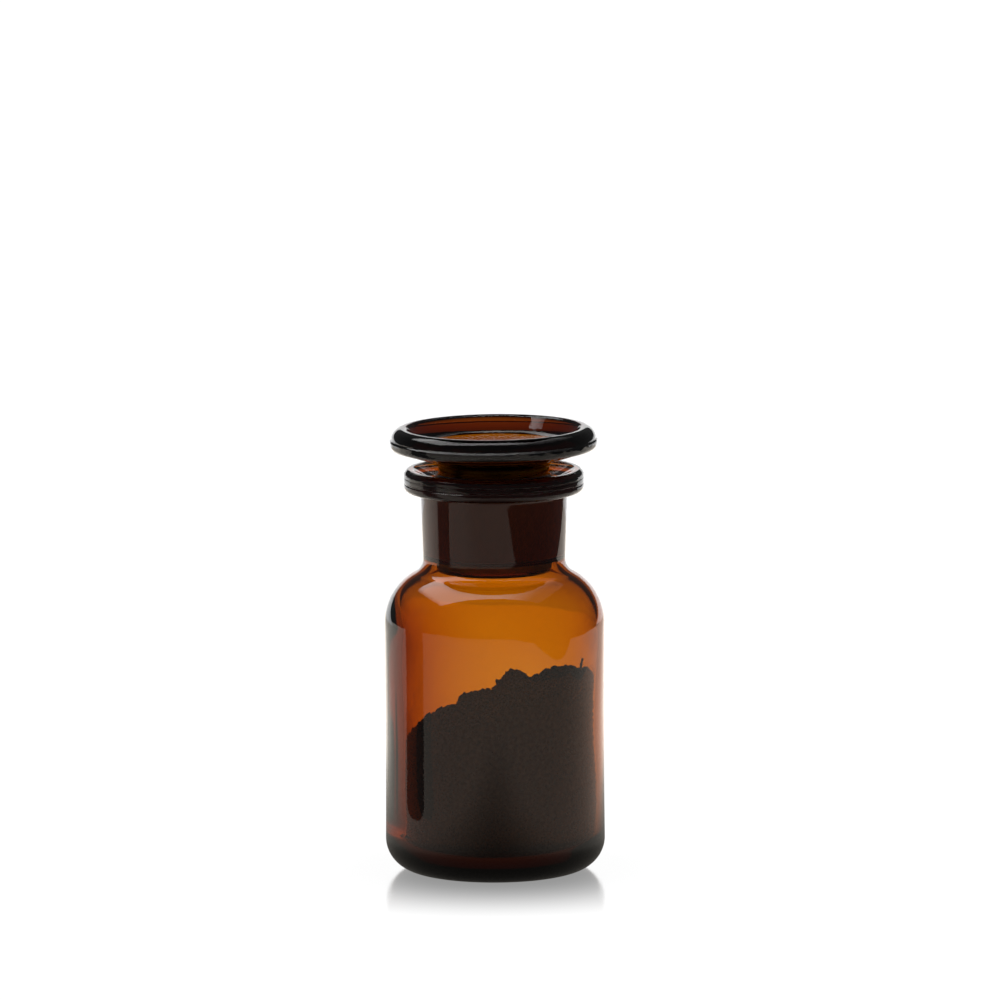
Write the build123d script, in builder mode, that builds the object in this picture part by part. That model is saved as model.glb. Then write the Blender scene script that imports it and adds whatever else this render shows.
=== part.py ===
"""Wide-neck reagent bottle in amber glass with a lift-off ground stopper, part filled with dry leaf.

Units are millimetres and +Z is up. The origin is the centre of the base, on the surface it stands on.
Five pieces are made: bottle, stopper, and the loose filling as leaf_fill, leaf_fragments and leaf_stalks.
"""
from build123d import *
from math import atan, atan2, cos, degrees, radians, sin, sqrt
import os

# ---- bottle, outside ----
BARREL_RADIUS = 26.05
BARREL_WAIST = 0.13  # the barrel is this much slimmer halfway up
HEEL_RADIUS = 7.6
REST_RING_INNER = 16.5  # the bottle stands on a flat ring from here out to the heel
PUSH_UP = 2.2  # rise of the underside at its centre
SHOULDER_Z = 59.2  # height where the shoulder arc starts
SHOULDER_RADIUS = 13.7
NECK_FILLET = 4.0
NECK_FOOT_RADIUS = 16.8
NECK_TOP_RADIUS = 17.4
LIP_RADIUS = 21.3
LIP_UNDERSIDE_Z = 90.7
LIP_CREST_Z = 96.1
LIP_CREST_RADIUS = 19.7
LIP_LOWER_ROUND = 1.6
LIP_UPPER_ROUND = 2.2
LIP_DISH_EDGE = (18.9, 95.75)  # where the lip's rounded crest turns down into its dish

# ---- bottle, inside ----
WALL = 2.2
FLOOR_EDGE_Z = 4.2  # height of the inside floor next to its heel
FLOOR_DOME = 0.9  # rise of the inside floor at its centre
INNER_HEEL_RADIUS = 5.4

# ---- ground joint, 1:10 on the diameter ----
JOINT_MOUTH_RADIUS = 14.6
JOINT_MOUTH_Z = 93.4
JOINT_SLOPE = 0.05  # radius lost for each millimetre of depth
JOINT_GAP = 0.06  # radial gap between socket and plug
SOCKET_FOOT_Z = 75.5  # the neck is ground down to here, and the blown bore below is a little wider
BORE_RADIUS = 14.6
BORE_CHAMFER = 0.7
BORE_FILLET = 6.1  # round where the bore opens into the shoulder

# ---- stopper ----
PLUG_TOP_Z = 93.6
PLUG_FOOT_Z = 71.1
PLUG_FOOT_ROUND = 1.2
SHANK_RADIUS = 13.15
SHANK_FOOT_Z = 95.1
SHANK_TOP_Z = 97.6
HEAD_TILT = 0.4  # degrees the pressed head is out of square with the plug, +X side high
HEAD_PIVOT_Z = 98.0
HEAD_NECK_RADIUS = 12.7  # the head starts inside the shank, so the two join without a thin edge
HEAD_UNDERSIDE = (22.7, 100.6)
HEAD_LOWER_ROUND = 1.55
SEAM = (24.65, 102.85)  # mould seam round the widest part of the head
RIM_FOOT = (24.3, 103.5)
RIM_CREST = (21.4, 106.1)
RIM_ROUND = 2.75
DISH_EDGE = (20.6, 105.8)
DISH_FLOOR_EDGE = (18.1, 101.8)  # where the dish's steep side meets its shallow floor
DISH_FLOOR_Z = 99.4
HOLLOW_FOOT_RADIUS = 10.5  # the plug is open at its foot
HOLLOW_TOP_RADIUS = 9.7
HOLLOW_TOP_Z = 95.2
HOLLOW_TOP_ROUND = 4.5

# ---- loose dry leaf ----
FILL_GAP = 0.3  # space left between the filling and the glass
REST_GAP = 0.05  # space left between a loose piece and the heap under it
REST_SAMPLES = 8
HEAP_OUTLINE = [  # (x, z) along the top of the settled leaf
    (-26, 33.4),
    (-21.5, 34.6),
    (-10.5, 37.6),
    (-2, 41.2),
    (5, 44.6),
    (12, 45.0),
    (17, 46.8),
    (26, 46.4),
]
FRAGMENT_COUNT = 18
FRAGMENT_SPREAD = 19.0
FRAGMENT_SIZE = 1.6  # half length
FRAGMENT_SLIMNESS = 0.7  # width over length
FRAGMENT_THICKNESS = 1.0
FRAGMENT_VARIATION = 0.3
FRAGMENT_TURN = 47  # degrees from one fragment to the next
FRAGMENT_TAPER = 12
FRAGMENT_CORNERS = (0, 55, 130, 190, 285)  # degrees round the outline
GOLDEN_ANGLE = 137.5
STALK_RADIUS = 0.35
STALKS_LYING = [(-12.5, 15.5, 25, 7.0), (9.0, 17.5, -20, 6.0), (12.5, -16.5, 75, 5.0)]  # x, y, turn, length
STALK_STANDING = (20.6, 5.5)
STALK_STANDING_LENGTH = 3.4
STALK_TAPER = 2


def tangent_fillet(centre, radius, side, fillet_radius):
    """Centre of a fillet above an arc that also touches the upright at radius side, and their touching point."""
    fillet_x = side + fillet_radius
    run = fillet_x - centre[0]
    rise = sqrt((radius + fillet_radius) ** 2 - run**2)
    reach = radius / (radius + fillet_radius)
    return (fillet_x, centre[1] + rise), (centre[0] + run * reach, centre[1] + rise * reach)


def on_arc(centre, radius, angle):
    """The point of an arc at an angle in degrees."""
    return (centre[0] + radius * cos(radians(angle)), centre[1] + radius * sin(radians(angle)))


def arc_between(centre, radius, start, end):
    """A circular arc about centre through the directions of two of its points."""
    first = degrees(atan2(start[1] - centre[1], start[0] - centre[0]))
    last = degrees(atan2(end[1] - centre[1], end[0] - centre[0]))
    sweep = (last - first + 180) % 360 - 180
    return ThreePointArc(start, on_arc(centre, radius, first + sweep / 2), end)


def socket_radius(height):
    """Radius of the ground socket at a height."""
    return JOINT_MOUTH_RADIUS - JOINT_SLOPE * (JOINT_MOUTH_Z - height)


def heap_height(x):
    """Height of the settled leaf at x."""
    for (x0, z0), (x1, z1) in zip(HEAP_OUTLINE, HEAP_OUTLINE[1:]):
        if x <= x1:
            return z0 + (z1 - z0) * (x - x0) / (x1 - x0)
    return HEAP_OUTLINE[-1][1]


# Shoulder and neck share one set of centres, so the wall keeps its thickness round the shoulder.
shoulder_centre = (BARREL_RADIUS - SHOULDER_RADIUS, SHOULDER_Z)
neck_fillet_centre, shoulder_end = tangent_fillet(
    shoulder_centre, SHOULDER_RADIUS, NECK_FOOT_RADIUS, NECK_FILLET
)
inner_radius = BARREL_RADIUS - WALL
inner_shoulder_radius = SHOULDER_RADIUS - WALL
bore_fillet_centre, inner_shoulder_end = tangent_fillet(
    shoulder_centre, inner_shoulder_radius, BORE_RADIUS, BORE_FILLET
)

# ---- bottle: body, neck and dished lip, blown as one piece of glass ----
with BuildPart() as bottle:
    with BuildSketch(Plane.XZ):
        with BuildLine():
            heel_centre = (BARREL_RADIUS - HEEL_RADIUS, HEEL_RADIUS)
            heel_foot = (heel_centre[0], 0)
            heel_top = (BARREL_RADIUS, HEEL_RADIUS)
            push_up_radius = (REST_RING_INNER**2 + PUSH_UP**2) / (2 * PUSH_UP)
            RadiusArc((0, PUSH_UP), (REST_RING_INNER, 0), push_up_radius)
            Line((REST_RING_INNER, 0), heel_foot)
            arc_between(heel_centre, HEEL_RADIUS, heel_foot, heel_top)
            waist = (BARREL_RADIUS - BARREL_WAIST, (HEEL_RADIUS + SHOULDER_Z) / 2)
            ThreePointArc(heel_top, waist, (BARREL_RADIUS, SHOULDER_Z))
            arc_between(shoulder_centre, SHOULDER_RADIUS, (BARREL_RADIUS, SHOULDER_Z), shoulder_end)
            neck_foot = (NECK_FOOT_RADIUS, neck_fillet_centre[1])
            arc_between(neck_fillet_centre, NECK_FILLET, shoulder_end, neck_foot)
            neck_top = (NECK_TOP_RADIUS, LIP_UNDERSIDE_Z)
            Line(neck_foot, neck_top)
            lip_foot = (LIP_RADIUS - LIP_LOWER_ROUND, LIP_UNDERSIDE_Z)
            Line(neck_top, lip_foot)
            lip_lower_centre = (lip_foot[0], LIP_UNDERSIDE_Z + LIP_LOWER_ROUND)
            lip_side_foot = (LIP_RADIUS, lip_lower_centre[1])
            arc_between(lip_lower_centre, LIP_LOWER_ROUND, lip_foot, lip_side_foot)
            lip_side_top = (LIP_RADIUS, LIP_CREST_Z - LIP_UPPER_ROUND)
            Line(lip_side_foot, lip_side_top)
            lip_crest = (LIP_CREST_RADIUS, LIP_CREST_Z)
            RadiusArc(lip_side_top, lip_crest, -LIP_UPPER_ROUND)
            Line(lip_crest, LIP_DISH_EDGE)
            mouth = (JOINT_MOUTH_RADIUS, JOINT_MOUTH_Z)
            Line(LIP_DISH_EDGE, mouth)
            socket_foot = (socket_radius(SOCKET_FOOT_Z), SOCKET_FOOT_Z)
            bore_foot = (BORE_RADIUS, bore_fillet_centre[1])
            Polyline(mouth, socket_foot, (BORE_RADIUS, SOCKET_FOOT_Z - BORE_CHAMFER), bore_foot)
            arc_between(bore_fillet_centre, BORE_FILLET, bore_foot, inner_shoulder_end)
            inner_shoulder_foot = (inner_radius, SHOULDER_Z)
            arc_between(shoulder_centre, inner_shoulder_radius, inner_shoulder_end, inner_shoulder_foot)
            inner_heel_centre = (inner_radius - INNER_HEEL_RADIUS, FLOOR_EDGE_Z + INNER_HEEL_RADIUS)
            inner_heel_top = (inner_radius, inner_heel_centre[1])
            Line(inner_shoulder_foot, inner_heel_top)
            inner_heel_foot = (inner_heel_centre[0], FLOOR_EDGE_Z)
            arc_between(inner_heel_centre, INNER_HEEL_RADIUS, inner_heel_top, inner_heel_foot)
            Line(inner_heel_foot, (0, FLOOR_EDGE_Z + FLOOR_DOME))
            Line((0, FLOOR_EDGE_Z + FLOOR_DOME), (0, PUSH_UP))
        make_face()
    revolve(axis=Axis.Z)
bottle.part.label = "bottle"

# ---- stopper: ground plug, hollow from its foot, and shank, pressed with a wide dished head ----
head_plane = Plane(
    origin=(0, 0, HEAD_PIVOT_Z),
    x_dir=(cos(radians(HEAD_TILT)), 0, sin(radians(HEAD_TILT))),
    z_dir=(0, -1, 0),
)
head_axis = Axis((0, 0, HEAD_PIVOT_Z), (-sin(radians(HEAD_TILT)), 0, cos(radians(HEAD_TILT))))


def on_head(point):
    """A point of the head's outline in the tilted plane, given as (radius, height) on an upright head."""
    return (point[0], point[1] - HEAD_PIVOT_Z)


with BuildPart() as stopper:
    plug_foot_radius = socket_radius(PLUG_FOOT_Z + PLUG_FOOT_ROUND) - JOINT_GAP
    plug_top_radius = socket_radius(PLUG_TOP_Z) - JOINT_GAP
    with BuildSketch(Plane.XZ):
        with BuildLine():
            hollow_round_centre = (HOLLOW_TOP_RADIUS - HOLLOW_TOP_ROUND, HOLLOW_TOP_Z - HOLLOW_TOP_ROUND)
            hollow_crown = (hollow_round_centre[0], HOLLOW_TOP_Z)
            hollow_side = (HOLLOW_TOP_RADIUS, hollow_round_centre[1])
            hollow_foot = (HOLLOW_FOOT_RADIUS, PLUG_FOOT_Z + PLUG_FOOT_ROUND)
            foot_inner = (HOLLOW_FOOT_RADIUS + PLUG_FOOT_ROUND, PLUG_FOOT_Z)
            foot_outer = (plug_foot_radius - PLUG_FOOT_ROUND, PLUG_FOOT_Z)
            foot_side = (plug_foot_radius, PLUG_FOOT_Z + PLUG_FOOT_ROUND)
            Line((0, HOLLOW_TOP_Z), hollow_crown)
            arc_between(hollow_round_centre, HOLLOW_TOP_ROUND, hollow_crown, hollow_side)
            Line(hollow_side, hollow_foot)
            arc_between((foot_inner[0], hollow_foot[1]), PLUG_FOOT_ROUND, hollow_foot, foot_inner)
            Line(foot_inner, foot_outer)
            arc_between((foot_outer[0], foot_side[1]), PLUG_FOOT_ROUND, foot_outer, foot_side)
            Polyline(
                foot_side,
                (plug_top_radius, PLUG_TOP_Z),
                (SHANK_RADIUS, SHANK_FOOT_Z),
                (SHANK_RADIUS, HEAD_PIVOT_Z),
                (0, HEAD_PIVOT_Z),
                (0, HOLLOW_TOP_Z),
            )
        make_face()
    revolve(axis=Axis.Z)
    with BuildSketch(head_plane):
        with BuildLine():
            head_side = (HEAD_UNDERSIDE[0] + HEAD_LOWER_ROUND, HEAD_UNDERSIDE[1] + HEAD_LOWER_ROUND)
            underside = [(0, SHANK_TOP_Z), (HEAD_NECK_RADIUS, SHANK_TOP_Z), HEAD_UNDERSIDE]
            Polyline(*[on_head(point) for point in underside])
            RadiusArc(on_head(HEAD_UNDERSIDE), on_head(head_side), -HEAD_LOWER_ROUND)
            Polyline(*[on_head(point) for point in (head_side, SEAM, RIM_FOOT)])
            RadiusArc(on_head(RIM_FOOT), on_head(RIM_CREST), -RIM_ROUND)
            dish = [RIM_CREST, DISH_EDGE, DISH_FLOOR_EDGE, (0, DISH_FLOOR_Z), (0, SHANK_TOP_Z)]
            Polyline(*[on_head(point) for point in dish])
        make_face()
    revolve(axis=head_axis)
stopper.part.label = "stopper"

# ---- leaf_fill: the settled leaf, shaped to the inside of the glass and heaped towards +X ----
with BuildPart() as leaf_fill:
    fill_radius = inner_radius - FILL_GAP
    fill_floor = FLOOR_EDGE_Z + FILL_GAP
    fill_heel = INNER_HEEL_RADIUS - FILL_GAP
    with BuildSketch(Plane.XZ):
        with BuildLine():
            heel_start = (fill_radius - fill_heel, fill_floor)
            heel_end = (fill_radius, fill_floor + fill_heel)
            Line((0, fill_floor + FLOOR_DOME), heel_start)
            RadiusArc(heel_start, heel_end, -fill_heel)
            Polyline(heel_end, (fill_radius, SHOULDER_Z), (0, SHOULDER_Z), (0, fill_floor + FLOOR_DOME))
        make_face()
    revolve(axis=Axis.Z)
    with BuildSketch(Plane.XZ):
        with BuildLine():
            Polyline(*HEAP_OUTLINE, (HEAP_OUTLINE[-1][0], 0), (HEAP_OUTLINE[0][0], 0), close=True)
        make_face()
    extrude(amount=BARREL_RADIUS, both=True, mode=Mode.INTERSECT)
leaf_fill.part.label = "leaf_fill"


def resting_plane(x, y, reach, turn):
    """A plane lying just clear of the heap round (x, y), leaning with it and turned about its own normal."""
    slope = (heap_height(x + reach) - heap_height(x - reach)) / (2 * reach)
    steps = [reach * step / REST_SAMPLES for step in range(-REST_SAMPLES, REST_SAMPLES + 1)]
    lift = max(heap_height(x + step) - slope * step for step in steps)
    lean, bearing = atan(slope), radians(turn)
    x_dir = (cos(lean) * cos(bearing), sin(bearing), sin(lean) * cos(bearing))
    return Plane(origin=(x, y, lift), x_dir=x_dir, z_dir=(-sin(lean), 0, cos(lean))).offset(REST_GAP)


# ---- leaf_fragments: the coarse broken leaf that lies loose on top of the heap ----
with BuildPart() as leaf_fragments:
    for number in range(FRAGMENT_COUNT):
        spread = FRAGMENT_SPREAD * sqrt((number + 0.5) / FRAGMENT_COUNT)
        bearing = radians(number * GOLDEN_ANGLE)
        size = FRAGMENT_SIZE * (1 + FRAGMENT_VARIATION * sin(2.1 * number))
        turn = number * FRAGMENT_TURN
        lie = resting_plane(spread * cos(bearing), spread * sin(bearing), size, turn)
        with BuildSketch(lie):
            width = size * FRAGMENT_SLIMNESS
            corners = [(size * cos(radians(a)), width * sin(radians(a))) for a in FRAGMENT_CORNERS]
            Polygon(*corners, align=None)
        thickness = FRAGMENT_THICKNESS * (1 + FRAGMENT_VARIATION * cos(1.7 * number))
        extrude(amount=thickness, taper=FRAGMENT_TAPER)
leaf_fragments.part.label = "leaf_fragments"

# ---- leaf_stalks: three thin stalks lying on the heap and one standing on it, against the glass ----
with BuildPart() as leaf_stalks:
    for x, y, turn, length in STALKS_LYING:
        lie = resting_plane(x, y, length / 2, turn).offset(STALK_RADIUS)
        along = Plane(origin=lie.origin, x_dir=lie.z_dir, z_dir=lie.x_dir)
        with BuildSketch(along):
            RegularPolygon(radius=STALK_RADIUS, side_count=6)
        extrude(amount=length / 2, both=True)
    x, y = STALK_STANDING
    with BuildSketch(resting_plane(x, y, STALK_RADIUS, 0)):
        RegularPolygon(radius=STALK_RADIUS, side_count=6)
    extrude(amount=STALK_STANDING_LENGTH, taper=STALK_TAPER)
leaf_stalks.part.label = "leaf_stalks"

os.makedirs("parts", exist_ok=True)
for sub_part in (bottle, stopper, leaf_fill, leaf_fragments, leaf_stalks):
    export_step(sub_part.part, f"parts/{sub_part.part.label}.step")
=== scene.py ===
"""Looks for the amber reagent bottle: moulded glass, ground joint, loose dry leaf, and a plain studio.

Lengths in the outlines are millimetres and are multiplied by MM when a mesh is made.
"""
import math

import bpy
import numpy as np
from mathutils import Matrix, Vector, noise


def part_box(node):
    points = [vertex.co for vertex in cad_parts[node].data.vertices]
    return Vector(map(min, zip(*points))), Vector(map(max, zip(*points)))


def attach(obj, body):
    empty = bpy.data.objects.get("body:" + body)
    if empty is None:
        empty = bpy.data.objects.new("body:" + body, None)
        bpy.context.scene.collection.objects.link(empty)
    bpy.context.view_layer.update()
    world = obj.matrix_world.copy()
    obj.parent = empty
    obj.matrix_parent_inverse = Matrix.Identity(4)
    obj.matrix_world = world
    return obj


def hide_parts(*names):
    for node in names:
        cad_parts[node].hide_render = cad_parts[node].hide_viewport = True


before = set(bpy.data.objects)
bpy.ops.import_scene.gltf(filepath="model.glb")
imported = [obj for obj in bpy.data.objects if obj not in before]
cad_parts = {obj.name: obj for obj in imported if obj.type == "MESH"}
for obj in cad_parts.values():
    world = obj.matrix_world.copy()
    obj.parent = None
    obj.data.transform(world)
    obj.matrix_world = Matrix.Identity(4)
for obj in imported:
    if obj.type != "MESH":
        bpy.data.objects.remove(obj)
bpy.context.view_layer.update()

MM = 0.001
SEED = 29
rng = np.random.default_rng(SEED)

# ---- sizes from the frame, in millimetres ----
bottle_low, bottle_high = (np.array(corner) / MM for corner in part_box("bottle"))
stopper_low, stopper_high = (np.array(corner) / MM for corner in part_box("stopper"))
BARREL = (bottle_high[0] - bottle_low[0]) / 2
LIP_CREST = bottle_high[2]
PLUG_FOOT = stopper_low[2]
HEAD = (stopper_high[1] - stopper_low[1]) / 2

# ---- bottle ----
SEGMENTS = 288
WALL = 2.2
HEEL_Z = 7.6
SHOULDER_Z = 59.2
WAIST = 0.13  # how far the barrel draws in at its middle
THICK_SIDE = 1.3  # how much thicker the wall is at -X, all of it inwards
JOINT_MOUTH = (14.6, 93.4)  # radius, height
GROUND_LOW = 76.0  # the ground band of the bore, from here
GROUND_HIGH = 92.9  # up to here
BOTTLE_OUTLINE = [  # radius, height, corner radius
    (0, 2.2, 0),
    (9.0, 1.9, 9),
    (15.6, 0.25, 4),
    (17.4, 0, 1),
    (BARREL, 0, 7.6),
    (BARREL, 67.35, 13.6),
    (16.8, 72.37, 3.8),
    (17.35, 90.7, 0.9),
    (21.3, 90.7, 1.4),
    (21.3, 92.5, 0.12),
    (21.14, 92.7, 0.12),
    (21.14, 92.9, 0.12),
    (21.3, 93.1, 0.12),
    (21.3, 94.0, 0.12),
    (21.16, 94.15, 0.12),
    (21.3, 94.3, 0.12),
    (21.3, 95.2, 1.0),
    (20.5, LIP_CREST, 0.9),
    (19.2, LIP_CREST, 0.7),
    (JOINT_MOUTH[0] + 0.1, JOINT_MOUTH[1] + 0.1, 0.5),
    (13.68, 75.5, 0.5),
    (14.6, 74.85, 0.4),
    (14.6, 71.06, 5.9),
    (BARREL - WALL, 66.04, 11.4),
    (BARREL - WALL, 4.2, 5.4),
    (0, 5.1, 0),
]

# ---- stopper ----
HEAD_TILT = 0.4  # degrees
HEAD_PIVOT_Z = 98.0
STOPPER_OUTLINE = [  # radius, height, corner radius
    (0, 93.8, 0),
    (9.7, 93.4, 4.0),
    (10.5, PLUG_FOOT, 0.9),
    (13.46, PLUG_FOOT, 1.2),
    (14.54, 93.7, 0.35),
    (13.15, 95.0, 0.8),
    (13.15, 97.7, 0.9),
    (22.4, 100.45, 3.0),
    (24.3, 101.0, 1.3),
    (HEAD, 102.85, 0.12),
    (24.2, 103.2, 0.2),
    (24.15, 106.1, 2.6),
    (20.7, 105.9, 0.8),
    (18.1, 101.8, 2.2),
    (0, 99.4, 0),
]


def rounded(corners, chord=1.1, turn=math.radians(3)):
    """Points along an outline of straight runs joined by arcs, from (radius, height, corner radius)."""
    points = []
    last = len(corners) - 1
    for index, (x, z, radius) in enumerate(corners):
        corner = np.array((x, z), float)
        if index in (0, last) or radius == 0:
            points.append(corner)
            continue
        before = np.array(corners[index - 1][:2], float) - corner
        after = np.array(corners[index + 1][:2], float) - corner
        before /= np.linalg.norm(before)
        after /= np.linalg.norm(after)
        half = math.acos(np.clip(before @ after, -1, 1)) / 2
        middle = before + after
        middle /= np.linalg.norm(middle)
        centre = corner + middle * radius / math.sin(half)
        reach = radius / math.tan(half)
        start, end = corner + before * reach - centre, corner + after * reach - centre
        swing = math.pi - 2 * half
        steps = max(2, math.ceil(swing / turn))
        for step in range(steps + 1):
            share = step / steps
            a, b = math.sin((1 - share) * swing), math.sin(share * swing)
            points.append(centre + (start * a + end * b) / math.sin(swing))
    dense = [points[0]]
    for point in points[1:]:
        gap = np.linalg.norm(point - dense[-1])
        pieces = max(1, math.ceil(gap / chord))
        start = dense[-1]
        dense += [start + (point - start) * k / pieces for k in range(1, pieces + 1)]
    return np.array(dense)


def make_mesh(name, vertices, faces, smooth=True):
    """A mesh object in metres from millimetre vertices."""
    mesh = bpy.data.meshes.new(name)
    mesh.from_pydata((np.asarray(vertices) * MM).tolist(), [], faces)
    mesh.validate()
    mesh.polygons.foreach_set("use_smooth", [smooth] * len(mesh.polygons))
    piece = bpy.data.objects.new(name, mesh)
    bpy.context.collection.objects.link(piece)
    return piece


def lathe(name, outline, shape, ground):
    """A closed solid of revolution. shape moves points, ground says how far each is ground, 0 to 1."""
    inner = outline[1:-1]
    angles = np.arange(SEGMENTS) * 2 * math.pi / SEGMENTS
    radius, angle = np.meshgrid(inner[:, 0], angles, indexing="ij")
    height = np.broadcast_to(inner[:, 1][:, None], radius.shape)
    side = np.arange(len(inner))[:, None]
    points = shape(radius, angle, height, side)
    grounds = ground(radius, height, side).ravel().tolist()
    rows = len(inner)
    vertices = [(0, 0, outline[0][1])] + points.reshape(-1, 3).tolist() + [(0, 0, outline[-1][1])]
    tail = len(vertices) - 1
    faces = []
    for column in range(SEGMENTS):
        after = (column + 1) % SEGMENTS
        faces.append((0, 1 + after, 1 + column))
        for row in range(rows - 1):
            low, high = 1 + row * SEGMENTS, 1 + (row + 1) * SEGMENTS
            faces.append((low + column, low + after, high + after, high + column))
        top = 1 + (rows - 1) * SEGMENTS
        faces.append((top + column, top + after, tail))
    piece = make_mesh(name, vertices, faces)
    attribute = piece.data.attributes.new("ground", "FLOAT", "POINT")
    attribute.data.foreach_set("value", [0.0] + grounds + [0.0])
    return piece


def bump(value, centre, width):
    """A smooth hump of height 1."""
    return np.exp(-(((value - centre) / width) ** 2))


def smoothstep(value, low, high):
    """0 below low, 1 above high, smooth between."""
    share = np.clip((value - low) / (high - low), 0, 1)
    return share * share * (3 - 2 * share)


def to_points(radius, angle, height):
    """Stacked x, y, z from cylinder coordinates."""
    return np.stack([radius * np.cos(angle), radius * np.sin(angle), height], axis=-1)


def thick_side(angle):
    """How much thicker the wall is towards -X."""
    return THICK_SIDE * ((1 - np.cos(angle)) / 2) ** 5


# ---- the bottle's shape: barrel waist, mould seams, uneven inside wall ----
bottle_points = rounded(BOTTLE_OUTLINE)
crest_row = int(np.argmax(bottle_points[1:-1, 1]))
SEAM_ANGLE = math.radians(12)


def bottle_shape(radius, angle, height, side):
    outside = side < crest_row
    barrel = outside & (height > HEEL_Z) & (height < SHOULDER_Z)
    along = (height - (HEEL_Z + SHOULDER_Z) / 2) / ((SHOULDER_Z - HEEL_Z) / 2)
    radius = radius - np.where(barrel, WAIST * (1 - along**2), 0)
    seam = bump(np.abs(np.sin(angle - SEAM_ANGLE)), 0, 0.012)
    seam_reach = smoothstep(height, 9, 20) * smoothstep(-height, -57, -48)
    radius = radius + np.where(outside, 0.07 * seam * seam_reach, 0)
    inside = ~outside & (radius > 15) & (height < 69)
    thickening = thick_side(angle) * smoothstep(height, 4, 12) * smoothstep(-height, -68, -56)
    radius = radius - np.where(inside, thickening, 0)
    fade = smoothstep(height, 6, 14) * smoothstep(-height, -68, -58)
    wave = (
        0.10 * np.sin(2 * angle + 0.9)
        + 0.05 * np.sin(3 * angle + height / 9)
        + 0.03 * np.sin(7 * angle - height / 5.5)
        + 0.05 * np.sin(height / 7 + 1)
    )
    radius = radius + np.where(inside, wave * fade, 0)
    skin = 0.006 * np.sin(5 * angle + height / 4) + 0.005 * np.sin(9 * angle - height / 3)
    radius = radius + np.where(outside & (radius > 2), skin - 0.011, 0)
    return to_points(radius, angle, height)


def bottle_ground(radius, height, side):
    above_foot = smoothstep(height, GROUND_LOW - 0.5, GROUND_LOW)
    below_mouth = smoothstep(-height, -GROUND_HIGH, 0.4 - GROUND_HIGH)
    return np.where((side >= crest_row) & (radius < 15.2), above_foot * below_mouth, 0)


# ---- the stopper's shape: the head is a little out of square with the plug ----
stopper_points = rounded(STOPPER_OUTLINE)
head_row = int(np.argmax(stopper_points[1:-1, 1]))


def stopper_shape(radius, angle, height, side):
    skin = 0.012 * np.sin(3 * angle + height / 2) + 0.008 * np.sin(8 * angle - height)
    radius = radius + np.where((height > 99) & (radius < HEAD - 0.3), skin, 0)
    lumps = (np.sin(23 * angle) + np.sin(37 * angle + 1) + np.sin(61 * angle + 2)) / 3 - 1
    radius = radius + 0.07 * lumps * bump(height, 102.9, 0.3)
    points = to_points(radius, angle, height)
    tilt = math.radians(HEAD_TILT) * smoothstep(height, HEAD_PIVOT_Z - 1, HEAD_PIVOT_Z + 1)
    x, rise = points[..., 0].copy(), points[..., 2] - HEAD_PIVOT_Z
    points[..., 0] = x * np.cos(tilt) - rise * np.sin(tilt)
    points[..., 2] = HEAD_PIVOT_Z + x * np.sin(tilt) + rise * np.cos(tilt)
    return points


def stopper_ground(radius, height, side):
    band = smoothstep(height, PLUG_FOOT + 1.2, PLUG_FOOT + 1.7) * smoothstep(-height, -93.7, -93.3)
    return np.where((side < head_row) & (radius > 13.0), band, 0)


# ---- materials ----
GROUND_ROUGHNESS = 0.62
GROUND_CLEARNESS = 0.5  # transmission of a ground face, 1 where the glass is clear


def new_material(name):
    """An empty node material: the tree and its output node."""
    material = bpy.data.materials.new(name)
    material.use_nodes = True
    tree = material.node_tree
    tree.nodes.clear()
    return material, tree, tree.nodes.new("ShaderNodeOutputMaterial")


def link(tree, source, target):
    tree.links.new(source, target)


def noise_texture(tree, scale, detail=3.0, stretch=(1, 1, 1)):
    """Noise in the object's own metres."""
    place = tree.nodes.new("ShaderNodeTexCoord")
    mapping = tree.nodes.new("ShaderNodeMapping")
    mapping.inputs["Scale"].default_value = stretch
    texture = tree.nodes.new("ShaderNodeTexNoise")
    texture.inputs["Scale"].default_value = scale
    texture.inputs["Detail"].default_value = detail
    link(tree, place.outputs["Object"], mapping.inputs["Vector"])
    link(tree, mapping.outputs["Vector"], texture.inputs["Vector"])
    return texture


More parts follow.
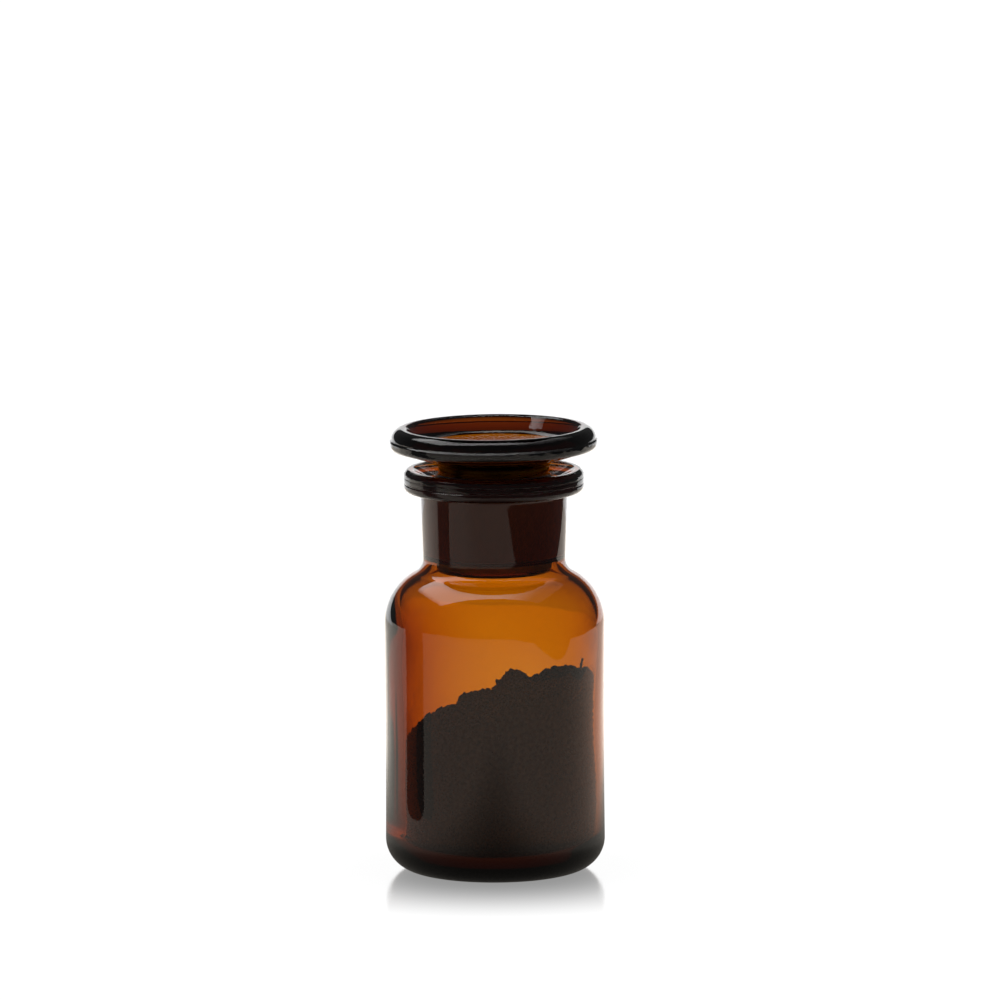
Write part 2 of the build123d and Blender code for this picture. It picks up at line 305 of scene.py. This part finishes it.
def amber_glass(name, density, tint):
    """Clear amber glass, coloured through its thickness, with ground zones where the mesh says so."""
    material, tree, output = new_material(name)
    glass = tree.nodes.new("ShaderNodeBsdfPrincipled")
    glass.inputs["Base Color"].default_value = (1, 1, 1, 1)
    glass.inputs["IOR"].default_value = 1.52
    ground = tree.nodes.new("ShaderNodeAttribute")
    ground.attribute_name = "ground"
    grain = noise_texture(tree, 2600, 2.0, (1, 1, 2.5))
    rough = tree.nodes.new("ShaderNodeMapRange")
    rough.inputs["To Min"].default_value = 0.0
    rough.inputs["To Max"].default_value = GROUND_ROUGHNESS
    link(tree, ground.outputs["Fac"], rough.inputs["Value"])
    link(tree, rough.outputs["Result"], glass.inputs["Roughness"])
    clear = tree.nodes.new("ShaderNodeMapRange")
    clear.inputs["To Min"].default_value = 1.0
    clear.inputs["To Max"].default_value = GROUND_CLEARNESS
    link(tree, ground.outputs["Fac"], clear.inputs["Value"])
    link(tree, clear.outputs["Result"], glass.inputs["Transmission Weight"])
    relief = tree.nodes.new("ShaderNodeMath")
    relief.operation = "MULTIPLY"
    link(tree, grain.outputs["Fac"], relief.inputs[0])
    link(tree, ground.outputs["Fac"], relief.inputs[1])
    bumps = tree.nodes.new("ShaderNodeBump")
    bumps.inputs["Strength"].default_value = 0.5
    bumps.inputs["Distance"].default_value = 0.00008
    link(tree, relief.outputs["Value"], bumps.inputs["Height"])
    link(tree, bumps.outputs["Normal"], glass.inputs["Normal"])
    volume = tree.nodes.new("ShaderNodeVolumeAbsorption")
    volume.inputs["Color"].default_value = (*tint, 1)
    volume.inputs["Density"].default_value = density
    link(tree, glass.outputs["BSDF"], output.inputs["Surface"])
    link(tree, volume.outputs["Volume"], output.inputs["Volume"])
    return material


def dry_leaf(name, dark, light):
    """Matt broken leaf, mottled from dark to light."""
    material, tree, output = new_material(name)
    leaf = tree.nodes.new("ShaderNodeBsdfPrincipled")
    mottle = noise_texture(tree, 900, 4.0)
    ramp = tree.nodes.new("ShaderNodeValToRGB")
    ramp.color_ramp.elements[0].position = 0.38
    ramp.color_ramp.elements[0].color = (*dark, 1)
    ramp.color_ramp.elements[1].position = 0.78
    ramp.color_ramp.elements[1].color = (*light, 1)
    link(tree, mottle.outputs["Fac"], ramp.inputs["Fac"])
    link(tree, ramp.outputs["Color"], leaf.inputs["Base Color"])
    leaf.inputs["Roughness"].default_value = 0.7
    veins = noise_texture(tree, 2200, 3.0)
    bumps = tree.nodes.new("ShaderNodeBump")
    bumps.inputs["Strength"].default_value = 0.6
    bumps.inputs["Distance"].default_value = 0.0002
    link(tree, veins.outputs["Fac"], bumps.inputs["Height"])
    link(tree, bumps.outputs["Normal"], leaf.inputs["Normal"])
    link(tree, leaf.outputs["BSDF"], output.inputs["Surface"])
    return material


# The stopper's glass absorbs more than the bottle's, and is browner.
bottle_material = amber_glass("amber_glass", 1700, (0.867, 0.70, 0.0))
stopper_material = amber_glass("amber_glass_stopper", 2300, (0.77, 0.60, 0.0))
leaf_material = dry_leaf("dry_leaf", (0.014, 0.013, 0.012), (0.10, 0.085, 0.06))
fragment_material = dry_leaf("leaf_fragment", (0.016, 0.014, 0.012), (0.13, 0.10, 0.06))
stalk_material = dry_leaf("leaf_stalk", (0.16, 0.08, 0.03), (0.40, 0.22, 0.09))

bottle_glass = lathe("bottle_glass", bottle_points, bottle_shape, bottle_ground)
bottle_glass.data.materials.append(bottle_material)
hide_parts("bottle")
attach(bottle_glass, "bottle")

stopper_glass = lathe("stopper_glass", stopper_points, stopper_shape, stopper_ground)
stopper_glass.data.materials.append(stopper_material)
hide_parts("stopper")
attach(stopper_glass, "stopper")

# ---- the dry leaf ----
HEAP_PROFILE = [  # x, height
    (-26, 31.5),
    (-20.7, 32.7),
    (-17.8, 34.4),
    (-9.3, 35.8),
    (-8.6, 37.7),
    (-6.3, 38.4),
    (-1.8, 38.7),
    (-0.6, 39.3),
    (0.8, 41.2),
    (2.3, 42.9),
    (5.1, 44.3),
    (6.4, 43.8),
    (7.8, 42.6),
    (9.5, 42.7),
    (12.3, 44.6),
    (18.1, 46.4),
    (26, 47.0),
]
HEAP_X, HEAP_Z = zip(*HEAP_PROFILE)
FILL_RADIUS = BARREL - WALL - 0.35
FILL_FLOOR = 4.6
FILL_HEEL = 5.0
FLOOR_RISE = 0.9  # of the inside floor at its centre
GLASS_CLEARANCE = 0.18  # with a margin added, covers the waves of the inside wall
TOP_BITS, EDGE_BITS, WALL_BITS, COARSE_BITS = 1500, 90, 3200, 44
GOLDEN_ANGLE = math.radians(137.5)
FULL_TURN = 6.3  # radians, a little over one turn


def heap_height(x, y):
    """Height of the heap's top at (x, y), with soft lumps."""
    lump = 0.3 * noise.noise(Vector((x / 4.5, y / 4.5, 3.1)))
    lump += 0.35 * noise.noise(Vector((x / 2, y / 3, 7.7)))
    return float(np.interp(x, HEAP_X, HEAP_Z)) + lump


def heap_core():
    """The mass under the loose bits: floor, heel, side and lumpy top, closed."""
    columns, side_rows, top_rows = 160, 46, 26
    rings = []
    for share in np.linspace(0.12, 1, 8):
        rings.append(("floor", share * (FILL_RADIUS - FILL_HEEL)))
    for swing in np.linspace(12, 90, 7):
        rings.append(("heel", math.radians(swing)))
    for share in np.linspace(0.04, 1, side_rows):
        rings.append(("side", share))
    for share in np.linspace(0.96, 0.06, top_rows):
        rings.append(("top", share))
    vertices = [(0, 0, FILL_FLOOR + FLOOR_RISE)]
    for kind, value in rings:
        for column in range(columns):
            angle = 2 * math.pi * column / columns
            edge_z = heap_height(FILL_RADIUS * math.cos(angle), FILL_RADIUS * math.sin(angle))
            heel_z = FILL_FLOOR + FILL_HEEL
            if kind == "floor":
                radius, z = value, FILL_FLOOR + FLOOR_RISE * (1 - value / (FILL_RADIUS - FILL_HEEL))
            elif kind == "heel":
                radius = FILL_RADIUS - FILL_HEEL * (1 - math.sin(value))
                z = FILL_FLOOR + FILL_HEEL * (1 - math.cos(value))
            elif kind == "side":
                radius, z = FILL_RADIUS, heel_z + value * (edge_z - heel_z)
            else:
                radius = value * FILL_RADIUS
                z = heap_height(radius * math.cos(angle), radius * math.sin(angle)) - 0.5
            spot = Vector((radius * math.cos(angle), radius * math.sin(angle), z))
            if kind in ("side", "heel"):
                pits = noise.noise(spot / 1.1) + 0.6 * noise.noise(spot / 0.6)
                radius -= 0.25 + 0.25 * pits
            radius -= float(thick_side(angle)) * radius / FILL_RADIUS
            vertices.append((radius * math.cos(angle), radius * math.sin(angle), z))
    vertices.append((0, 0, heap_height(0, 0) - 0.5))
    faces = []
    tail = len(vertices) - 1
    for column in range(columns):
        after = (column + 1) % columns
        faces.append((0, 1 + after, 1 + column))
        for row in range(len(rings) - 1):
            low, high = 1 + row * columns, 1 + (row + 1) * columns
            faces.append((low + column, low + after, high + after, high + column))
        top = 1 + (len(rings) - 1) * columns
        faces.append((top + column, top + after, tail))
    return vertices, faces


def leaf_bit(length, width, thickness, curl):
    """One broken bit: an uneven plate of six corners with crowned faces, about its own centre."""
    corners = 6
    turns = (np.arange(corners) + rng.uniform(-0.28, 0.28, corners)) * 2 * math.pi / corners
    reach = rng.uniform(0.72, 1.0, corners)
    x = np.cos(turns) * reach * length / 2
    y = np.sin(turns) * reach * width / 2
    bend = curl * (x / (length / 2)) ** 2
    lean = rng.uniform(0.75, 0.95)
    top = np.stack([x * lean, y * lean, bend + thickness / 2], 1)
    bottom = np.stack([x, y, bend - thickness / 2], 1)
    caps = np.array([[0, 0, thickness * 0.62], [0, 0, -thickness * 0.55]])
    vertices = np.vstack([top, bottom, caps])
    faces = []
    for k in range(corners):
        n = (k + 1) % corners
        faces.append((k, n, 2 * corners))
        faces.append((corners + n, corners + k, 2 * corners + 1))
        faces.append((corners + k, corners + n, n, k))
    return vertices, faces


def turned(vertices, normal, spin):
    """Vertices with their +Z turned to normal, after a spin about it."""
    matrix = Vector((0, 0, 1)).rotation_difference(Vector(normal)).to_matrix() @ Matrix.Rotation(spin, 3, "Z")
    return vertices @ np.array(matrix).T


def join(parts):
    """One vertex and face list from many."""
    vertices, faces, count = [], [], 0
    for part_vertices, part_faces in parts:
        vertices.append(np.asarray(part_vertices, float))
        faces += [tuple(i + count for i in face) for face in part_faces]
        count += len(part_vertices)
    return np.vstack(vertices), faces


def inside_glass(vertices, margin=0.12):
    """True when every vertex stays clear of the glass."""
    bearing = np.arctan2(vertices[:, 1], vertices[:, 0])
    reach = np.hypot(vertices[:, 0], vertices[:, 1]) + thick_side(bearing)
    return reach.max() < BARREL - WALL - GLASS_CLEARANCE - margin


def bits_on_top(count):
    """Bits lying every way over the top of the heap."""
    parts = []
    while len(parts) < count:
        radius, angle = (BARREL - WALL) * math.sqrt(rng.uniform()), rng.uniform(0, 2 * math.pi)
        x, y = radius * math.cos(angle), radius * math.sin(angle)
        size = rng.uniform(1.2, 3.0)
        width = size * rng.uniform(0.5, 0.95)
        vertices, faces = leaf_bit(size, width, rng.uniform(0.5, 1.3), rng.uniform(-0.3, 0.3))
        normal = rng.normal(size=3) * (0.8, 0.8, 0.6) + (0, 0, 0.8)
        vertices = turned(vertices, normal, rng.uniform(0, FULL_TURN))
        vertices = vertices + (x, y, heap_height(x, y) + rng.uniform(-0.9, 0.2))
        if inside_glass(vertices):
            parts.append((vertices, faces))
    return parts


def bits_on_edge(count):
    """Coarser bits standing up along the far edge of the heap, where its outline is seen."""
    parts = []
    while len(parts) < count:
        radius, angle = rng.uniform(20.5, 22.6), math.radians(rng.uniform(15, 165))
        x, y = radius * math.cos(angle), radius * math.sin(angle)
        size = rng.uniform(1.6, 2.8)
        width = size * rng.uniform(0.6, 0.95)
        vertices, faces = leaf_bit(size, width, rng.uniform(0.8, 1.5), rng.uniform(-0.2, 0.2))
        vertices = turned(vertices, rng.normal(size=3), rng.uniform(0, FULL_TURN))
        vertices = vertices + (x, y, heap_height(x, y) + rng.uniform(-1.2, 0.0))
        if inside_glass(vertices):
            parts.append((vertices, faces))
    return parts


def bits_on_wall(count):
    """Bits pressed against the glass round the side of the filling."""
    parts = []
    while len(parts) < count:
        angle = rng.uniform(0, 2 * math.pi)
        size = rng.uniform(1.0, 2.8)
        radius = BARREL - WALL - 0.25 - rng.uniform(0.15, 0.6) - thick_side(angle)
        x, y = radius * math.cos(angle), radius * math.sin(angle)
        z = rng.uniform(FILL_FLOOR + 4.0, heap_height(x, y))
        width = size * rng.uniform(0.35, 0.9)
        vertices, faces = leaf_bit(size, width, rng.uniform(0.25, 0.6), rng.uniform(-0.2, 0.2))
        normal = np.array((math.cos(angle), math.sin(angle), 0)) + rng.normal(size=3) * 0.22
        vertices = turned(vertices, normal, rng.uniform(0, FULL_TURN)) + (x, y, z)
        if inside_glass(vertices, 0.05):
            parts.append((vertices, faces))
    return parts


def dress(piece, node, material):
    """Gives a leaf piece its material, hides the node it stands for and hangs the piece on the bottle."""
    piece.data.materials.append(material)
    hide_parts(node)
    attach(piece, "bottle")


heap_parts = [heap_core()] + bits_on_top(TOP_BITS) + bits_on_edge(EDGE_BITS) + bits_on_wall(WALL_BITS)
leaf_heap = make_mesh("leaf_heap", *join(heap_parts), smooth=False)
dress(leaf_heap, "leaf_fill", leaf_material)


def coarse_fragments(count):
    """The larger bits on top of the heap, up to count of them: any that would touch the glass is left out."""
    parts = []
    for number in range(count):
        radius = 19.5 * math.sqrt((number + 0.5) / count)
        angle = number * GOLDEN_ANGLE
        x, y = radius * math.cos(angle), radius * math.sin(angle)
        size = rng.uniform(2.2, 3.2)
        width = size * rng.uniform(0.6, 0.9)
        vertices, faces = leaf_bit(size, width, rng.uniform(0.8, 1.5), rng.uniform(-0.4, 0.4))
        normal = rng.normal(size=3) * 0.5 + (0, 0, 0.8)
        vertices = turned(vertices, normal, rng.uniform(0, FULL_TURN))
        vertices = vertices + (x, y, heap_height(x, y) + 0.7)
        if inside_glass(vertices):
            parts.append((vertices, faces))
    return parts


loose_fragments = make_mesh("loose_fragments", *join(coarse_fragments(COARSE_BITS)), smooth=False)
dress(loose_fragments, "leaf_fragments", fragment_material)


def stalk(start, end, radius, sag):
    """A thin stalk between two points, a little crooked and tapered."""
    start, end = np.array(start, float), np.array(end, float)
    rings, sides = 9, 7
    axis = (end - start) / np.linalg.norm(end - start)
    across = np.cross(axis, (0.3, 0.5, 0.81))
    across /= np.linalg.norm(across)
    other = np.cross(axis, across)
    vertices, faces = [], []
    for ring in range(rings):
        share = ring / (rings - 1)
        centre = start + (end - start) * share + across * sag * math.sin(math.pi * share)
        thick = radius * (1 - 0.35 * share) * rng.uniform(0.85, 1.1)
        for k in range(sides):
            turn = 2 * math.pi * k / sides
            vertices.append(centre + thick * (math.cos(turn) * across + math.sin(turn) * other))
    for ring in range(rings - 1):
        for k in range(sides):
            n = (k + 1) % sides
            low, high = ring * sides, (ring + 1) * sides
            faces.append((low + k, low + n, high + n, high + k))
    faces.append(tuple(reversed(range(sides))))
    faces.append(tuple(range((rings - 1) * sides, rings * sides)))
    return vertices, faces


def on_heap(x, y, lift):
    return (x, y, heap_height(x, y) + lift)


stalks = [
    stalk(on_heap(20.4, 5.5, -0.8), on_heap(21.2, 6.5, 3.0), 0.36, 0.15),
    stalk(on_heap(-17.0, 11.5, 0.3), on_heap(-12.0, 15.0, 0.3), 0.3, 0.3),
    stalk(on_heap(7.2, 17.5, 0.3), on_heap(9.0, 11.5, 0.3), 0.3, -0.2),
    stalk((17.6, -15.1, 43.4), (20.6, -10.4, 46.9), 0.36, 0.2),
]
loose_stalks = make_mesh("loose_stalks", *join(stalks))
dress(loose_stalks, "leaf_stalks", stalk_material)

# ---- studio ----
# The camera sees a plain white floor and surround. The glass sees a set instead: a warm white table of
# painted light with a painted shadow of the bottle close to it, a softbox overhead, a low lit wall behind, a
# dark card close on the left, and a dim room beyond them.
WHITE_LEVEL = 1.06
# The set table's painted light: the first level is a painted shadow of the bottle close to it, the others its
# light in front, at the sides and behind.
BOTTLE_SHADOW_LEVEL, FRONT_LEVEL, SIDE_LEVEL, BACK_LEVEL = 0.07, 0.5, 0.85, 1.5
SOFTBOX_LEVEL, WALL_LEVEL, CARD_LEVEL, ROOM_LEVEL = 2.5, 1.2, 0.08, 0.06
TABLE_Z = -0.4  # millimetres, just under the floor
TABLE_EDGE = [  # x, y in metres
    (-0.7, -0.45),
    (0.13, -0.45),
    (0.183, -0.345),
    (0.24, -0.233),
    (0.36, 0),
    (0.36, 0.2),
    (0.3, 0.56),
    (-0.7, 0.56),
]


def emission(name, strength):
    material, tree, output = new_material(name)
    glow = tree.nodes.new("ShaderNodeEmission")
    glow.inputs["Color"].default_value = (1, 1, 1, 1)
    glow.inputs["Strength"].default_value = strength
    link(tree, glow.outputs["Emission"], output.inputs["Surface"])
    return material


def math_node(tree, operation, first, second=None):
    node = tree.nodes.new("ShaderNodeMath")
    node.operation = operation
    for socket, value in zip(node.inputs, (first, second)):
        if value is None:
            continue
        if isinstance(value, (int, float)):
            socket.default_value = value
        else:
            link(tree, value, socket)
    return node.outputs["Value"]


def ramp_node(tree, value, low, high, bottom, top):
    node = tree.nodes.new("ShaderNodeMapRange")
    node.interpolation_type = "SMOOTHSTEP"
    for socket, number in zip(("From Min", "From Max", "To Min", "To Max"), (low, high, bottom, top)):
        node.inputs[socket].default_value = number
    link(tree, value, node.inputs["Value"])
    return node.outputs["Result"]


def plane_place(tree):
    """A level sheet's x and y in metres, and the distance from the bottle's axis."""
    place = tree.nodes.new("ShaderNodeTexCoord")
    parts = tree.nodes.new("ShaderNodeSeparateXYZ")
    link(tree, place.outputs["Object"], parts.inputs["Vector"])
    x, y = parts.outputs["X"], parts.outputs["Y"]
    square = math_node(tree, "ADD", math_node(tree, "MULTIPLY", x, x), math_node(tree, "MULTIPLY", y, y))
    return x, y, math_node(tree, "SQRT", square)


def seen_by(piece, camera=False, glass=False):
    """Says whether the camera, or the glass and its gloss, sees a stage piece."""
    piece.visible_camera = camera
    piece.visible_glossy = glass
    piece.visible_transmission = glass
    piece.visible_diffuse = glass
    piece.visible_shadow = False


def level_sheet(name, x_low, x_high, y_low, y_high, z):
    corners = [(x_low, y_low, z), (x_high, y_low, z), (x_high, y_high, z), (x_low, y_high, z)]
    return make_mesh(name, np.array(corners) / MM, [(0, 1, 2, 3)], smooth=False)


def floor_finish():
    """White, with a polish round the bottle that fades out in front of it."""
    material, tree, output = new_material("white_floor")
    radius = plane_place(tree)[2]
    glow = tree.nodes.new("ShaderNodeEmission")
    glow.inputs["Strength"].default_value = WHITE_LEVEL
    gloss = tree.nodes.new("ShaderNodeBsdfGlossy")
    gloss.inputs["Roughness"].default_value = 0.12
    polish = ramp_node(tree, radius, 0.018, 0.07, 0.72, 0.0)
    mix = tree.nodes.new("ShaderNodeMixShader")
    link(tree, polish, mix.inputs["Fac"])
    link(tree, glow.outputs["Emission"], mix.inputs[1])
    link(tree, gloss.outputs["BSDF"], mix.inputs[2])
    link(tree, mix.outputs["Shader"], output.inputs["Surface"])
    return material


def table_finish():
    """A table's painted light: a painted shadow of the bottle close to it, and brighter behind than in front.
    """
    material, tree, output = new_material("set_table")
    x, y = plane_place(tree)[:2]
    aside = math_node(tree, "ABSOLUTE", x)
    wide = math_node(tree, "MULTIPLY", x, 2.6)
    reach = math_node(tree, "ADD", math_node(tree, "MULTIPLY", wide, wide), math_node(tree, "MULTIPLY", y, y))
    # Painted shadow of the bottle on the table, darkest close to it; painted light falling off far in front.
    near = ramp_node(tree, math_node(tree, "SQRT", reach), 0.03, 0.26, BOTTLE_SHADOW_LEVEL / FRONT_LEVEL, 1.0)
    far = ramp_node(tree, y, -0.36, -0.26, 0.8, 1.0)
    shade = math_node(tree, "MULTIPLY", near, far)
    depth = ramp_node(tree, y, -0.1, 0.25, FRONT_LEVEL, SIDE_LEVEL)
    middle = ramp_node(tree, aside, 0.08, 0.2, BACK_LEVEL - SIDE_LEVEL, 0.0)
    behind = ramp_node(tree, y, 0.08, 0.2, 0.0, 1.0)
    light = math_node(tree, "ADD", depth, math_node(tree, "MULTIPLY", middle, behind))
    glow = tree.nodes.new("ShaderNodeEmission")
    glow.inputs["Color"].default_value = (1, 0.93, 0.83, 1)
    link(tree, math_node(tree, "MULTIPLY", shade, light), glow.inputs["Strength"])
    link(tree, glow.outputs["Emission"], output.inputs["Surface"])
    return material


def softbox_finish():
    """A softbox's light, falling off towards its sides and cut away in the middle at the back."""
    material, tree, output = new_material("set_softbox")
    x, y = plane_place(tree)[:2]
    right = ramp_node(tree, x, 0.0, 0.5, 1.0, 0.1)
    left = ramp_node(tree, x, -1.0, -0.7, 0.0, 1.0)
    middle = ramp_node(tree, math_node(tree, "ABSOLUTE", x), 0.27, 0.34, 1.0, 0.0)
    notch = math_node(tree, "MULTIPLY", middle, ramp_node(tree, y, 0.1, 0.22, 0.0, 1.0))
    level = math_node(tree, "MULTIPLY", math_node(tree, "MULTIPLY", right, left), SOFTBOX_LEVEL)
    level = math_node(tree, "MULTIPLY", level, math_node(tree, "SUBTRACT", 1.0, notch))
    glow = tree.nodes.new("ShaderNodeEmission")
    link(tree, level, glow.inputs["Strength"])
    link(tree, glow.outputs["Emission"], output.inputs["Surface"])
    return material


def upright(name, start, end, radius, low, high, strength, arched=False):
    """An upright arc of card between two bearings, in degrees from the front towards +X.

    Its top is level, or falls to nothing at both ends when it is arched.
    """
    steps = 48
    vertices = []
    for step in range(steps + 1):
        bearing = math.radians(start + (end - start) * step / steps)
        share = abs(2 * step / steps - 1)
        top = low + (high - low) * (1 - share**1.3 if arched else 1)
        for z in (low, top):
            vertices.append((radius * math.sin(bearing), -radius * math.cos(bearing), z))
    faces = [(2 * k, 2 * k + 2, 2 * k + 3, 2 * k + 1) for k in range(steps)]
    card = make_mesh(name, np.array(vertices) / MM, faces, smooth=False)
    card.data.materials.append(emission(name, strength))
    return card


floor = level_sheet("floor", -6, 6, -6, 6, 0)
floor.data.materials.append(floor_finish())
seen_by(floor, camera=True)
seen_by(upright("surround", -180, 180, 5.9, -0.1, 9, WHITE_LEVEL), camera=True)

table_corners = [(x / MM, y / MM, TABLE_Z) for x, y in TABLE_EDGE]
table = make_mesh("set_table", table_corners, [tuple(range(len(TABLE_EDGE)))], smooth=False)
table.data.materials.append(table_finish())
seen_by(table, glass=True)
softbox = level_sheet("set_softbox", -0.9, 0.65, -0.24, 0.85, 0.9)
softbox.data.materials.append(softbox_finish())
seen_by(softbox, glass=True)
seen_by(upright("set_wall", 132, 228, 0.52, 0, 0.21, WALL_LEVEL, arched=True), glass=True)


def flag():
    """A dark card close on the left, with rounded corners."""
    steps, near = 24, 0.08
    start, sweep = -92, 23
    low, high = 0.0045, 0.11
    vertices = []
    for step in range(steps + 1):
        share = step / steps
        bearing = math.radians(start + sweep * share)
        corner = abs(2 * share - 1) ** 4
        for z in (low + 0.003 * corner, high - 0.03 * corner):
            vertices.append((near * math.sin(bearing), -near * math.cos(bearing), z))
    faces = [(2 * k, 2 * k + 2, 2 * k + 3, 2 * k + 1) for k in range(steps)]
    card = make_mesh("set_flag", np.array(vertices) / MM, faces, smooth=False)
    card.data.materials.append(emission("set_flag", CARD_LEVEL))
    return card


seen_by(flag(), glass=True)

world = bpy.data.worlds.new("studio")
bpy.context.scene.world = world
world.use_nodes = True
world.node_tree.nodes["Background"].inputs["Color"].default_value = (1, 1, 1, 1)
world.node_tree.nodes["Background"].inputs["Strength"].default_value = ROOM_LEVEL

# ---- camera ----
AIM = Vector((0.00144, 0, 0.0885))
DISTANCE = 2.4
ELEVATION = math.radians(8.7)
ROLL = math.radians(0.25)
camera = bpy.data.objects.new("camera", bpy.data.cameras.new("camera"))
camera.data.sensor_width = 36
camera.data.lens = 365
camera.data.clip_end = 50
camera.location = AIM + DISTANCE * Vector((0, -math.cos(ELEVATION), math.sin(ELEVATION)))
look = (AIM - camera.location).to_track_quat("-Z", "Y").to_matrix() @ Matrix.Rotation(-ROLL, 3, "Z")
camera.rotation_euler = look.to_euler()
bpy.context.collection.objects.link(camera)

scene = bpy.context.scene
scene.camera = camera
scene.view_settings.view_transform = "Standard"
scene.cycles.max_bounces = 24
scene.cycles.transmission_bounces = 24
scene.cycles.glossy_bounces = 12
